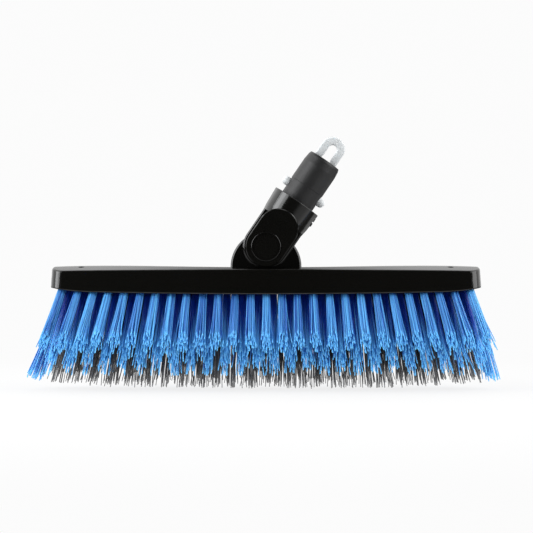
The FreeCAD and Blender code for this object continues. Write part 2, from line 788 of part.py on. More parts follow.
def is_plate_edge(edge):
    return lies_at(edge, number("plate_face")) and not is_crease(edge)


def is_arch_edge(edge):
    return lies_at(edge, number("plate_face") - number("facet_depth")) and not is_crease(edge)


def is_rim_edge(edge):
    return edge.BoundBox.ZMin > number("collar_rim") - TOUCHING


def sink(body, before, name, radius, floor, side):
    """A round recess in one ear, from its outside in to floor. side is +1 in front."""
    sketch = new_sketch(body, f"{name}_profile", "XZ_Plane", floor * side)
    add_circle(sketch, radius)
    depth = cell("plate_face") - floor + overshoot()
    recess = pocket(body, name, sketch, depth, reversed_way=side > 0)
    DOC.recompute()
    check_cut(before, recess)
    return recess


# ---- pivot bolt, nut, washers and caps ----


def hexagon(across):
    """Corner points of a hexagon, two of its flats level."""
    reach = 1 / (2 * math.cos(math.pi / HEX_SIDES))
    angles = [2 * math.pi * index / HEX_SIDES for index in range(HEX_SIDES)]
    return [(across * (reach * math.cos(turn)), across * (reach * math.sin(turn))) for turn in angles]


def build_bolt():
    body = new_body("pivot_bolt")
    under_head = cell("seat_distance") + cell("washer_thickness")
    head = new_sketch(body, "head_profile", "XZ_Plane", under_head)
    add_outline(head, hexagon(cell("hex_across")))
    pad(body, "bolt_head", head, cell("bolt_head"))
    shank = new_sketch(body, "shank_profile", "XZ_Plane", under_head)
    add_circle(shank, cell("bolt_radius"))
    length = under_head * 2 + cell("nut_height") + cell("bolt_stickout")
    rod = pad(body, "bolt_shank", shank, length)
    rod.Reversed = True
    return body


def build_nut():
    body = new_body("pivot_nut")
    seat = cell("seat_distance") + cell("washer_thickness")
    outline = new_sketch(body, "nut_profile", "XZ_Plane", -seat)
    add_outline(outline, hexagon(cell("hex_across")))
    add_circle(outline, cell("nut_bore_radius"))
    pad(body, "nut_blank", outline, cell("nut_height")).Reversed = True
    return body


def build_washer(label, side):
    body = new_body(label)
    outline = new_sketch(body, f"{label}_profile", "XZ_Plane", cell("seat_distance") * side)
    add_circle(outline, cell("washer_radius"))
    add_circle(outline, cell("washer_bore_radius"))
    pad(body, f"{label}_ring", outline, cell("washer_thickness")).Reversed = side < 0
    return body


def build_cap(label, side):
    """A snap-in disc with a thin raised rim."""
    body = new_body(label)
    floor = cell("cap_floor")
    outline = new_sketch(body, f"{label}_profile", "XZ_Plane", floor * side)
    add_circle(outline, cell("cap_radius"))
    thickness = cell("plate_face") + cell("cap_proud") - floor
    disc = pad(body, f"{label}_disc", outline, thickness)
    disc.Reversed = side < 0
    rounded = dress(body, "Fillet", f"{label}_rim_round", disc, is_cap_front, cell("cap_rim_round"))
    inner = (floor + thickness - cell("cap_rim_height")) * side
    well = new_sketch(body, f"{label}_well_profile", "XZ_Plane", inner)
    add_circle(well, cell("cap_radius") - cell("cap_rim_width"))
    dished = pocket(body, f"{label}_well", well, cell("cap_rim_height") + overshoot(), reversed_way=side > 0)
    DOC.recompute()
    check_cut(rounded, dished)
    return body


def is_cap_front(edge):
    return lies_at(edge, number("plate_face") + number("cap_proud"))


# ---- spigot and its screw ----


def build_spigot():
    body = new_body("pole_spigot")
    inner = cell("spigot_bore_radius")
    outer = cell("spigot_radius")
    waist = cell("spigot_waist_radius")
    step = outer - waist
    profile = new_sketch(body, "spigot_profile", "XZ_Plane")
    add_outline(
        profile,
        [
            (inner, cell("socket_floor")),
            (outer, cell("socket_floor")),
            (outer, cell("waist_start")),
            (waist, cell("waist_start") + step),
            (waist, cell("waist_end") - step),
            (outer, cell("waist_end")),
            (outer, cell("lead_start")),
            (cell("lead_radius"), cell("lead_end")),
            (cell("spigot_end_radius"), cell("spigot_end")),
            (inner, cell("spigot_end")),
        ],
    )
    tube = revolve(body, "spigot_tube", profile)
    DOC.recompute()

    slots = new_sketch(body, "button_slot_profile", "YZ_Plane")
    radius = cell("button_slot_radius")
    high = cell("button_height")
    low = high - cell("button_slot_drop")
    points = [(radius, low), (radius, high), (ZERO, high + radius), (-radius, high)]
    points += [(-radius, low), (ZERO, low - radius)]
    add_outline(slots, points, {index: (radius, 1) for index in (1, 2, 4, 5)})
    slotted = pocket(body, "button_slots", slots, outer * 2 + overshoot(), symmetric=True)
    DOC.recompute()
    check_cut(tube, slotted)

    pilot = new_sketch(body, "pilot_profile", "YZ_Plane")
    add_circle(pilot, cell("screw_radius"), (ZERO, cell("screw_height")))
    drilled = pocket(body, "screw_pilot", pilot, outer + overshoot(), reversed_way=True)
    DOC.recompute()
    check_cut(slotted, drilled)
    return body


def build_screw():
    body = new_body("spigot_screw")
    centre = (ZERO, cell("screw_height"))
    shank = new_sketch(body, "screw_shank_profile", "YZ_Plane", cell("screw_inner"))
    add_circle(shank, cell("screw_radius"), centre)
    pad(body, "screw_shank", shank, cell("screw_seat") - cell("screw_inner"))
    head = new_sketch(body, "screw_head_profile", "YZ_Plane", cell("screw_seat"))
    add_circle(head, cell("screw_head_radius"), centre)
    blank = pad(body, "screw_head", head, cell("screw_head_height"))
    top = cell("screw_seat") + cell("screw_head_height")
    rounded = dress(
        body,
        "Fillet",
        "screw_head_edge",
        blank,
        lambda edge: edge.BoundBox.XMin > top.value - TOUCHING,
        cell("screw_head_round"),
    )
    depth = cell("drive_slot_depth")
    face = top - depth
    groove = new_sketch(body, "drive_slot_profile", "YZ_Plane", face)
    reach = cell("screw_head_radius") + overshoot()
    low = cell("screw_height") - cell("drive_slot_width") * 0.5
    high = cell("screw_height") + cell("drive_slot_width") * 0.5
    add_outline(groove, [(-reach, low), (reach, low), (reach, high), (-reach, high)])
    slotted = pocket(body, "drive_slot", groove, depth + overshoot(), reversed_way=True)
    DOC.recompute()
    check_cut(rounded, slotted)
    return body


# ---- pole clip ----


def build_clip_bend():
    """The loop's bend, with a hollow in each end for an arm's knuckle."""
    body = new_body("clip_bend")
    hinge = cell("clip_hinge")
    outer = cell("clip_outer")
    inner = cell("clip_inner")
    profile = new_sketch(body, "bend_profile", "XZ_Plane")
    points = [(outer, hinge), (ZERO, hinge + outer), (-outer, hinge), (-inner, hinge)]
    points += [(ZERO, hinge + inner), (inner, hinge)]
    arcs = {0: (outer, 1), 1: (outer, 1), 3: (inner, -1), 4: (inner, -1)}
    add_outline(profile, points, arcs)
    blank = pad(body, "bend_blank", profile, cell("clip_thickness"), symmetric=True)
    hollow = new_sketch(body, "knuckle_room_profile", "XZ_Plane")
    for side in (-1, 1):
        add_circle(hollow, cell("knuckle_room"), (cell("clip_hinge_side") * side, hinge))
    cut = pocket(body, "knuckle_rooms", hollow, cell("clip_thickness") + overshoot(), symmetric=True)
    DOC.recompute()
    check_cut(blank, cut)
    return body


def build_clip_arm(label, side):
    """One arm: a knuckle in the bend, a leg that thins downwards, and a domed button."""
    body = new_body(label)
    hinge = cell("clip_hinge")
    shoulder = hinge - cell("shoulder_gap")
    outer = cell("clip_outer")
    profile = new_sketch(body, f"{label}_profile", "XZ_Plane")
    points = [
        (outer * side, shoulder),
        (outer * side, cell("arm_end")),
        (cell("arm_inner") * side, cell("arm_end")),
        (cell("arm_inner") * side, cell("arm_thin_start")),
        (cell("clip_inner") * side, cell("leg_end")),
        (cell("clip_inner") * side, shoulder),
    ]
    add_outline(profile, points)
    pad(body, f"{label}_leg", profile, cell("clip_thickness"), symmetric=True)
    knuckle = new_sketch(body, f"{label}_knuckle_profile", "XZ_Plane")
    add_circle(knuckle, cell("knuckle_radius"), (cell("clip_hinge_side") * side, hinge))
    pad(body, f"{label}_knuckle", knuckle, cell("clip_thickness"), symmetric=True)

    base = cell("arm_inner")
    tip = cell("button_tip")
    radius = cell("button_radius")
    outline = new_sketch(body, f"{label}_button_profile", "YZ_Plane", base * side)
    add_circle(outline, radius, (ZERO, cell("button_height")))
    button = pad(body, f"{label}_button", outline, tip - base)
    button.Reversed = side < 0
    dress(
        body,
        "Fillet",
        f"{label}_button_dome",
        button,
        lambda edge: abs(edge.BoundBox.Center.x) > tip.value - TOUCHING,
        cell("button_dome"),
    )
    return body


# ---- assembly ----


def place_handle(parts):
    """Put the handle's pieces on the pivot, tilted as they rest."""
    for part in parts:
        part.Placement = FreeCAD.Placement(
            Vector(0, 0, number("block_ridge_height") + number("pivot_rise")),
            FreeCAD.Rotation(Vector(0, 1, 0), number("handle_tilt")),
        )
        part.setExpression("Placement.Base.z", "Sizes.block_ridge_height + Sizes.pivot_rise")
        part.setExpression("Placement.Rotation.Angle", "Sizes.handle_tilt")


def build_all():
    fill_sheet()
    moulding = build_block()
    tufts, tools = build_tufts()
    block = finish_block(moulding, tools)
    handle = [
        build_yoke(),
        build_bolt(),
        build_nut(),
        build_washer("front_washer", 1),
        build_washer("rear_washer", -1),
        build_cap("front_pivot_cap", 1),
        build_cap("rear_pivot_cap", -1),
        build_spigot(),
        build_screw(),
        build_clip_bend(),
        build_clip_arm("clip_left_arm", -1),
        build_clip_arm("clip_right_arm", 1),
    ]
    place_handle(handle)
    DOC.recompute()
    return [block, *tufts, *handle]


def check_and_export(parts):
    for item in DOC.Objects:
        if "Invalid" in item.State or "Error" in item.State:
            raise ValueError(f"{item.Name}: {item.State}")
    for part in parts:
        if part.Shape.isNull() or not part.Shape.isValid():
            raise ValueError(f"{part.Label} has no valid shape")
    os.makedirs("parts", exist_ok=True)
    for part in parts:
        part.Shape.exportStep(f"parts/{part.Label}.step")
        box = part.Shape.BoundBox
        sides = f"{box.XLength:.1f} x {box.YLength:.1f} x {box.ZLength:.1f}"
        print(f"{part.Label}: {len(part.Shape.Solids)} solids, {sides} mm, {part.Shape.Volume:.0f} mm3")


check_and_export(build_all())
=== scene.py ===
import json
import math
import random

import bmesh
import bpy
import numpy as np
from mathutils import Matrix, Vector


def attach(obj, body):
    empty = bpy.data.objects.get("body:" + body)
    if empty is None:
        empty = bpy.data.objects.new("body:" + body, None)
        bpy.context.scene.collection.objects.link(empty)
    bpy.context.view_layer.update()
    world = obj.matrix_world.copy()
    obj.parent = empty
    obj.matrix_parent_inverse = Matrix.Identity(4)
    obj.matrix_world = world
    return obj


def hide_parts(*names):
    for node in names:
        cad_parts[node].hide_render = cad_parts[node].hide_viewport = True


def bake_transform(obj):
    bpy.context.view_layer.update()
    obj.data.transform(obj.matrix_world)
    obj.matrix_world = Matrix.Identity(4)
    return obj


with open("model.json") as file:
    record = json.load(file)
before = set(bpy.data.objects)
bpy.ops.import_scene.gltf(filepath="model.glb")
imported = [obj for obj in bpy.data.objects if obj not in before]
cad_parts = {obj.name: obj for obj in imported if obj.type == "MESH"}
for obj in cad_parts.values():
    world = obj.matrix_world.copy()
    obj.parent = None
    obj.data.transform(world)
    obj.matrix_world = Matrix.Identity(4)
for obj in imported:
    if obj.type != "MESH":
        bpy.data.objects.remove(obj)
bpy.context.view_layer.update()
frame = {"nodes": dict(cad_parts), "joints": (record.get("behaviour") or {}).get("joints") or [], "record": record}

nodes = frame["nodes"]
joints = {joint["name"]: joint for joint in frame["joints"]}
mounts = {mount["name"]: mount for mount in frame["record"]["mounts"]}

# the handle's own directions: the pivot, along the pole, and to the right of it
PIVOT = Vector(joints["handle_tilt"]["pos_m"])
ALONG = Vector(mounts["pole_spigot"]["axis"]).normalized()
ACROSS = Vector((ALONG.z, 0, -ALONG.x))

TURN = 2 * math.pi


def handle_point(along, across, depth=0.0):
    """A place on the handle, in metres: up the pole from the pivot, to its right, and backwards."""
    return PIVOT + ALONG * along + ACROSS * across + Vector((0, depth, 0))


def skin(mesh, rings):
    """Smooth faces from each ring of corners to the next, and a flat face over each end."""
    count = len(rings[0])
    for first, second in zip(rings, rings[1:]):
        for corner in range(count):
            after = (corner + 1) % count
            face = mesh.faces.new((first[corner], second[corner], second[after], first[after]))
            face.smooth = True
    mesh.faces.new(rings[0])
    mesh.faces.new(reversed(rings[-1]))


def new_piece(name, mesh, material):
    """Make an object of a bmesh, with one material."""
    data = bpy.data.meshes.new(name)
    mesh.to_mesh(data)
    mesh.free()
    data.materials.append(material)
    piece = bpy.data.objects.new(name, data)
    bpy.context.scene.collection.objects.link(piece)
    return piece


# ---- materials ----

# the scale of each pattern of noise: the larger, the finer
PATCH_SCALE = 60.0
STREAK_SCALE = 900.0
CLOUD_SCALE = 120.0
NYLON_GRAIN_SCALE = 1500.0
# how a streak is drawn out: along a filament, and along a metal's brushing
FILAMENT_STRETCH = (1, 1, 0.1)
METAL_STRETCH = (1, 0.05, 1)
# how much a streak changes the roughness
FILAMENT_STREAK = 0.08
METAL_STREAK = 0.1
FILAMENT_SPECULAR = 0.42
METAL_BUMP = 0.6
METAL_BUMP_DEPTH = 0.00002
NYLON_DARK = (0.64, 0.67, 0.68)
NYLON_LIGHT = (0.74, 0.76, 0.77)
NYLON_ROUGHNESS = 0.42
NYLON_SUBSURFACE = 0.5
NYLON_SUBSURFACE_SCALE = 0.003
NYLON_GRAIN_DEPTH = 0.00001


def new_material(name):
    material = bpy.data.materials.new(name)
    material.use_nodes = True
    tree = material.node_tree
    return material, tree, tree.nodes["Principled BSDF"]


def add(tree, kind, **inputs):
    """A shader node, with its inputs set by name. An input can be a value or another node's output."""
    node = tree.nodes.new(kind)
    for name, value in inputs.items():
        socket = node.inputs[name.replace("_", " ")]
        if isinstance(value, bpy.types.NodeSocket):
            tree.links.new(value, socket)
        else:
            socket.default_value = value
    return node


def place_noise(tree, scale, detail, stretch=(1, 1, 1)):
    """Noise from 0 to 1, fixed to the piece, in places given in metres."""
    coordinates = tree.nodes.new("ShaderNodeTexCoord")
    mapping = add(tree, "ShaderNodeMapping", Vector=coordinates.outputs["Object"], Scale=stretch)
    noise = add(
        tree, "ShaderNodeTexNoise", Vector=mapping.outputs["Vector"], Scale=scale, Detail=detail
    )
    return noise.outputs["Fac"]


def spread(tree, factor, low, high):
    """Map a factor from 0..1 to low..high."""
    node = add(tree, "ShaderNodeMapRange", Value=factor, To_Min=low, To_Max=high)
    return node.outputs["Result"]


def mix_colours(tree, factor, first, second):
    """The first colour where a factor is 0, and the second where it is 1."""
    node = tree.nodes.new("ShaderNodeMix")
    node.data_type = "RGBA"
    tree.links.new(factor, node.inputs["Factor"])
    node.inputs["A"].default_value = (*first, 1)
    node.inputs["B"].default_value = (*second, 1)
    return node.outputs["Result"]


def add_roughness(tree, shader, factor, middle, change):
    rough = spread(tree, factor, middle - change, middle + change)
    tree.links.new(rough, shader.inputs["Roughness"])


def add_bump(tree, shader, height, strength, distance):
    bump = add(tree, "ShaderNodeBump", Height=height, Strength=strength, Distance=distance)
    tree.links.new(bump.outputs["Normal"], shader.inputs["Normal"])


def plastic(name, colour, roughness, grain_scale, grain_depth, roughness_change):
    """Moulded plastic: a faint unevenness in gloss, and a grain in its surface."""
    material, tree, shader = new_material(name)
    shader.inputs["Base Color"].default_value = (*colour, 1)
    patches = place_noise(tree, PATCH_SCALE, detail=4.0)
    add_roughness(tree, shader, patches, roughness, roughness_change)
    grain = place_noise(tree, grain_scale, detail=3.0)
    add_bump(tree, shader, grain, 1.0, grain_depth)
    return material


def filament(name, dark, light, roughness):
    """Nylon filaments: each has its own tone, which also carries painted shade toward its root and painted light
    toward its tip and cut end, and its gloss changes in fine streaks along it.
    """
    material, tree, shader = new_material(name)
    tone = tree.nodes.new("ShaderNodeAttribute")
    tone.attribute_name = "tone"
    colour = mix_colours(tree, tone.outputs["Fac"], dark, light)
    tree.links.new(colour, shader.inputs["Base Color"])
    streaks = place_noise(tree, STREAK_SCALE, detail=2.0, stretch=FILAMENT_STRETCH)
    add_roughness(tree, shader, streaks, roughness, FILAMENT_STREAK)
    shader.inputs["Specular IOR Level"].default_value = FILAMENT_SPECULAR
    return material


def metal(name, colour, roughness):
    """Brushed or blackened steel, with a fine streak in its gloss and its surface."""
    material, tree, shader = new_material(name)
    shader.inputs["Base Color"].default_value = (*colour, 1)
    shader.inputs["Metallic"].default_value = 1.0
    brushed = place_noise(tree, STREAK_SCALE, detail=2.0, stretch=METAL_STRETCH)
    add_roughness(tree, shader, brushed, roughness, METAL_STREAK)
    add_bump(tree, shader, brushed, METAL_BUMP, METAL_BUMP_DEPTH)
    return material


def nylon(name):
    """The clip's natural nylon, which light soaks into."""
    material, tree, shader = new_material(name)
    clouds = place_noise(tree, CLOUD_SCALE, detail=3.0)
    tint = mix_colours(tree, clouds, NYLON_DARK, NYLON_LIGHT)
    tree.links.new(tint, shader.inputs["Base Color"])
    shader.inputs["Roughness"].default_value = NYLON_ROUGHNESS
    shader.inputs["Subsurface Weight"].default_value = NYLON_SUBSURFACE
    shader.inputs["Subsurface Radius"].default_value = (1.0, 1.0, 1.0)
    shader.inputs["Subsurface Scale"].default_value = NYLON_SUBSURFACE_SCALE
    grain = place_noise(tree, NYLON_GRAIN_SCALE, detail=2.0)
    add_bump(tree, shader, grain, 1.0, NYLON_GRAIN_DEPTH)
    return material


BLACK_GLOSS = plastic(
    "black_gloss_plastic", colour=(0.0032, 0.0031, 0.0026), roughness=0.15,
    grain_scale=700.0, grain_depth=0.000010, roughness_change=0.03,
)
SPIGOT_GREY = plastic(
    "spigot_plastic", colour=(0.0065, 0.0065, 0.007), roughness=0.50,
    grain_scale=2500.0, grain_depth=0.00004, roughness_change=0.05,
)
BLUE_FILAMENT = filament(
    "blue_filament", dark=(0.0005, 0.045, 0.42), light=(0.14, 0.55, 1.0), roughness=0.30
)
BLACK_FILAMENT = filament(
    "black_filament", dark=(0.012, 0.012, 0.013), light=(0.150, 0.146, 0.146), roughness=0.36
)
CLIP_NYLON = nylon("clip_nylon")
STEEL = metal("stainless_steel", colour=(0.60, 0.60, 0.59), roughness=0.30)
BLACK_OXIDE = metal("black_oxide", colour=(0.05, 0.05, 0.05), roughness=0.35)


def finish_node(name, material):
    nodes[name].data.materials.clear()
    nodes[name].data.materials.append(material)


for name in ("brush_block", "handle_yoke", "front_pivot_cap", "rear_pivot_cap"):
    finish_node(name, BLACK_GLOSS)
finish_node("pole_spigot", SPIGOT_GREY)
for name in ("pivot_bolt", "pivot_nut", "front_washer", "rear_washer"):
    finish_node(name, STEEL)
finish_node("spigot_screw", BLACK_OXIDE)
for name in nodes:
    if name.endswith("_staples"):
        finish_node(name, STEEL)


# ---- bristles ----

# sides of a filament, and filaments in a tuft
FILAMENT_SIDES = 5
FILAMENTS = 46
# the shares of a filament's length at which it has a ring; close together where its end curls
RINGS = (0.0, 0.2, 0.42, 0.62, 0.76, 0.86, 0.93, 0.97, 1.0)
# from the bottom of its hole: where a filament starts, and where it comes free and spreads
ROOT_INSET = 0.004
FREE_START = 0.009
# how much higher the cut is END_AT from the middle of the block
END_RISE = 0.0075
END_AT = 0.2
END_POWER = 4
# no filament is cut lower than this or than this share of its row's cut, and none is further from
# its row's cut than MOST_RAGGED spreads
LOWEST_CUT = 0.0008
LOWEST_SHARE = 0.5
MOST_RAGGED = 1.6
# where a filament's cut is looked for: from this share of its tuft's reach to this far past it
NEAREST_CUT = 0.3
FURTHEST_CUT = 0.03
CUT_STEPS = 16
# a tuft whose tip is nearer the middle than this belongs to the centre row
CENTRE_ROW = 0.004
# how much more a tuft flares across the block than along it
DEPTH_FLARE = 1.7
# how a filament's own curl and its sway are drawn, as shares of its row's curl
CURL_RANGE = (0.3, 1.0)
SWAY_RANGE = (0.0, 0.6)
CURL_POWER = 1.6
# how much longer the sway is than the curl
SWAY_LENGTH = 2.5
# a filament's tone: its middle and its spread, and how far a whole tuft's differs
TONE = 0.60
TONE_SPREAD = 0.22
TUFT_TONE = 0.12
# a painted highlight: how much paler a filament's last rings are at its cut end, standing in for the light that
# the cut ends catch
PAINTED_CUT_HIGHLIGHT = 0.5
PAINTED_HIGHLIGHT_RINGS = 2
# the share of its length at which a filament has its plain tone; nearer its root painted shade darkens it, and
# nearer its tip painted light makes it paler
PAINTED_SHADE_FROM = 0.85
# how far a slanted cut draws out a filament's end, in half-thicknesses
MOST_SLANT = 2.0
# how tightly filaments are packed, how far each is out of place, and where in the pattern the
# middle of a tuft lies, in shares of their pitch
PACKING = 0.985
PACKING_JITTER = 0.1
PACKING_MIDDLE = (0.1, 0.15)
# corner points of a CAD solid nearer than this are one
WELD = 1e-6
# the slice at a tuft's end that gives its root, and where its straight neck starts
ROOT_SLICE = 0.0005
NECK_START = 0.002


def solids_of(node):
    """The corner points of each separate solid in a CAD node."""
    mesh = bmesh.new()
    mesh.from_mesh(nodes[node].data)
    bmesh.ops.remove_doubles(mesh, verts=mesh.verts, dist=WELD)
    seen = set()
    groups = []
    for first in mesh.verts:
        if first in seen:
            continue
        seen.add(first)
        group = [first]
        for vertex in group:
            for edge in vertex.link_edges:
                other = edge.other_vert(vertex)
                if other not in seen:
                    seen.add(other)
                    group.append(other)
        groups.append(np.array([vertex.co for vertex in group]))
    mesh.free()
    return groups


def tuft_axis(points):
    """(end in its hole, direction, radius in its hole) of a tuft's solid."""
    centre = points.mean(axis=0)
    axis = np.linalg.svd(points - centre)[2][0]
    if axis[2] > 0:
        axis = -axis
    place = (points - centre) @ axis
    low = place.min()
    length = place.max() - low
    root = points[place < low + ROOT_SLICE].mean(axis=0)
    neck = points[(place > low + NECK_START) & (place < low + length / 2)].mean(axis=0)
    way = (neck - root) / np.linalg.norm(neck - root)
    radius = np.linalg.norm(points[place < low + ROOT_SLICE] - root, axis=1).max()
    return Vector(root), Vector(way), radius


def packed_spots(count, radius, rng):
    """Places for count filaments in a disc, packed in a six-sided pattern turned at random."""
    pitch = radius * math.sqrt(TURN / (math.sqrt(3) * count)) * PACKING
    aside, ahead = PACKING_MIDDLE
    spots = []
    span = int(radius / pitch) + 3
    for row in range(-span, span + 1):
        for column in range(-span, span + 1):
            x = (column + (row % 2) / 2) * pitch
            y = row * pitch * math.sqrt(3) / 2
            spots.append((math.hypot(x + aside * pitch, y + ahead * pitch), x, y))
    spots.sort()
    jitter = pitch * PACKING_JITTER
    turn = rng.uniform(0, TURN)
    placed = []
    for _, x, y in spots[:count]:
        x += rng.uniform(-jitter, jitter)
        y += rng.uniform(-jitter, jitter)
        turned_x = x * math.cos(turn) - y * math.sin(turn)
        turned_y = x * math.sin(turn) + y * math.cos(turn)
        placed.append((turned_x, turned_y))
    return placed


class Trim:
    """How a row's filaments stand: half their thickness, how much painted shade darkens them toward
    their roots and painted light makes them paler at their tips, the height of the cut at a tuft's
    axis, its slope across the block, how ragged it is, and how far they flare, stray, curl over what
    length, and lean to the right."""

    def __init__(
        self, thick, root_shade_tip_light, height, slope, ragged, flare, stray, curl, curl_length, lean=0.0
    ):
        self.thick = thick
        self.root_shade_tip_light = root_shade_tip_light
        self.height = height
        self.slope = slope
        self.ragged = ragged
        self.flare = flare
        self.stray = stray
        self.curl = curl
        self.curl_length = curl_length
        self.lean = Vector((lean, 0.0, 0.0))

    def cut(self, tip_y, place):
        """The cut's height at a place, for a tuft whose axis meets it at tip_y.

        It rises to the ends of the block."""
        height = self.height + END_RISE * (abs(place.x) / END_AT) ** END_POWER
        if abs(tip_y) < CENTRE_ROW:
            return height + self.slope * abs(place.y)
        side = -1 if tip_y < 0 else 1
        return height + self.slope * (place.y * side - abs(tip_y))


class Tuft:
    """One bundle: where it starts, the way it points, and how far it goes to its row's cut."""

    def __init__(self, points, trim):
        self.root, self.way, self.radius = tuft_axis(points)
        self.side = self.way.cross(Vector((0, 1, 0))).normalized()
        self.up = self.side.cross(self.way)
        self.trim = trim
        self.reach = (self.root.z - trim.height) / -self.way.z
        self.tip_y = (self.root + self.way * self.reach).y

    def around(self, angle):
        """A direction square to the tuft."""
        return self.side * math.cos(angle) + self.up * math.sin(angle)


def filament_path(tuft, spot, rng):
    """Points along one filament, from inside its hole to its cut end."""
    trim = tuft.trim
    beside = tuft.side * spot[0]
    across = tuft.up * spot[1]
    bend = tuft.around(rng.uniform(0, TURN)) * abs(rng.gauss(0, trim.stray))
    curl = tuft.around(rng.uniform(0, TURN)) * (trim.curl * rng.uniform(*CURL_RANGE))
    sway = tuft.around(rng.uniform(0, TURN)) * (trim.curl * rng.uniform(*SWAY_RANGE))
    ragged = min(max(rng.gauss(0, 1), -MOST_RAGGED), MOST_RAGGED) * trim.ragged
    extra = abs(ragged) if trim.height < LOWEST_CUT else ragged
    lowest = max(LOWEST_CUT, LOWEST_SHARE * trim.height)

    def place(travel):
        out = max(travel - FREE_START, 0) / (tuft.reach - FREE_START)
        flare_along = beside * (1 + trim.flare * out)
        flare_across = across * (1 + DEPTH_FLARE * trim.flare * out)
        drift = (bend + trim.lean) * out**2
        return tuft.root + tuft.way * travel + (flare_along + flare_across) + drift

    near = tuft.reach * NEAREST_CUT
    far = tuft.reach + FURTHEST_CUT
    for _ in range(CUT_STEPS):
        middle = (near + far) / 2
        here = place(middle)
        if here.z > max(trim.cut(tuft.tip_y, here) + extra, lowest):
            near = middle
        else:
            far = middle
    points = []
    for share in RINGS:
        travel = ROOT_INSET + (near - ROOT_INSET) * share
        last = max(1 - (near - travel) / trim.curl_length, 0)
        swayed = min(max(1 - (near - travel) / (SWAY_LENGTH * trim.curl_length), 0), 1)
        points.append(place(travel) + curl * last**CURL_POWER + sway * math.sin(math.pi * swayed))
    return points


def sweep(mesh, points, trim, tone, layer, cut_normal):
    """A round filament along points, its end cut by a plane with cut_normal."""
    rings = []
    for index, point in enumerate(points):
        ahead = points[min(index + 1, len(points) - 1)]
        behind = points[max(index - 1, 0)]
        way = (ahead - behind).normalized()
        side = way.cross(Vector((0.0, 1.0, 0.0))).normalized()
        up = side.cross(way)
        ring = []
        # painted shade darkens a filament toward its root, and painted light makes it paler toward its tip
        shade = tone + trim.root_shade_tip_light * (RINGS[index] - PAINTED_SHADE_FROM)
        # a painted highlight makes the last rings at the cut end paler
        if index >= len(points) - PAINTED_HIGHLIGHT_RINGS:
            shade += PAINTED_CUT_HIGHLIGHT
        for corner in range(FILAMENT_SIDES):
            angle = TURN * corner / FILAMENT_SIDES
            place = point + (side * math.cos(angle) + up * math.sin(angle)) * trim.thick
            if index == len(points) - 1:
                shift = -cut_normal.dot(place - point) / cut_normal.dot(way)
                limit = MOST_SLANT * trim.thick
                place += way * max(min(shift, limit), -limit)
            vertex = mesh.verts.new(place)
            vertex[layer] = min(max(shade, 0.0), 1.0)
            ring.append(vertex)
        rings.append(ring)
    skin(mesh, rings)


def make_row(name, node, trim, material, slot, seed):
    """The bristles of one CAD node, as one mesh."""
    rng = random.Random(seed)
    mesh = bmesh.new()
    layer = mesh.verts.layers.float.new("tone")
    for points in solids_of(node):
        tuft = Tuft(points, trim)
        tuft_tone = rng.uniform(-TUFT_TONE, TUFT_TONE)
        slope = math.copysign(trim.slope, tuft.tip_y) if abs(tuft.tip_y) > CENTRE_ROW else 0.0
        cut_normal = Vector((0, slope, -1))
        for spot in packed_spots(FILAMENTS, tuft.radius - trim.thick, rng):
            tone = rng.gauss(TONE, TONE_SPREAD) + tuft_tone
            sweep(mesh, filament_path(tuft, spot, rng), trim, tone, layer, cut_normal)
    piece = new_piece(name, mesh, material)
    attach(piece, "brush_head")
    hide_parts(node)


# each row's trim also sets how much painted shade darkens its filaments toward their roots and painted light makes
# them paler at their tips
OUTER = Trim(
    thick=0.00043, root_shade_tip_light=0.1, height=0.0415, slope=9.0, ragged=0.0044,
    flare=0.38, stray=0.0013, curl=0.0003, curl_length=0.006,
)
INNER = Trim(
    thick=0.00043, root_shade_tip_light=1.6, height=0.0265, slope=5.0, ragged=0.0042,
    flare=0.46, stray=0.0019, curl=0.0003, curl_length=0.008,
)
CENTRE = Trim(
    thick=0.00034, root_shade_tip_light=2.0, height=0.0, slope=0.0, ragged=0.0092,
    flare=1.2, stray=0.0036, curl=0.0004, curl_length=0.014,
)
ENDS = Trim(
    thick=0.00042, root_shade_tip_light=0.4, height=0.0, slope=0.0, ragged=0.0055,
    flare=1.1, stray=0.0038, curl=0.0004, curl_length=0.012, lean=-0.0032,
)

# each row: the piece, the CAD node it replaces, its trim, material and slot, and its seed
ROWS = (
    ("front_bristles", "front_blue_tufts", OUTER, BLUE_FILAMENT, "blue_bristle", 11),
    ("front_inner_bristles", "front_inner_blue_tufts", INNER, BLUE_FILAMENT, "blue_bristle", 12),
    ("centre_bristles", "centre_black_tufts", CENTRE, BLACK_FILAMENT, "black_bristle", 13),
    ("centre_end_bristles", "centre_end_tufts", ENDS, BLUE_FILAMENT, "blue_bristle", 14),
    ("rear_inner_bristles", "rear_inner_blue_tufts", INNER, BLUE_FILAMENT, "blue_bristle", 15),
    ("rear_bristles", "rear_blue_tufts", OUTER, BLUE_FILAMENT, "blue_bristle", 16),
)
for row in ROWS:
    make_row(*row)


# ---- pole clip ----

CLIP_HALF_THICKNESS = 0.003
# the middle of the loop's bend, up the pole from the pivot, and the loop's outer and inner radius
CLIP_HINGE = 0.1011
CLIP_OUTER = 0.0106
CLIP_INNER = 0.0037
CLIP_BEND_STEPS = 16
# one leg, from the loop down: up the pole from the pivot, from the pole's middle to the leg's
# inner face, and how much its outer face is set in
CLIP_LEG = (
    (0.0970, 0.0037, 0.0),
    (0.0930, 0.0037, 0.0),
    (0.0888, 0.0048, 0.0),
    (0.0845, 0.0060, 0.0),
    (0.0802, 0.0072, 0.0),
    (0.0765, 0.0080, 0.0),
    (0.0700, 0.0080, 0.0),
    (0.0640, 0.0080, 0.0),
    (0.0600, 0.0080, 0.0),
    (0.0560, 0.0080, 0.0),
    (0.0532, 0.0081, 0.0),
    (0.0520, 0.0085, 0.0004),
)
# the rounding of its edges, its most as a share of half a side, and its steps
CLIP_CORNER = 0.0014
CLIP_CORNER_SHARE = 0.8
CLIP_CORNER_STEPS = 4

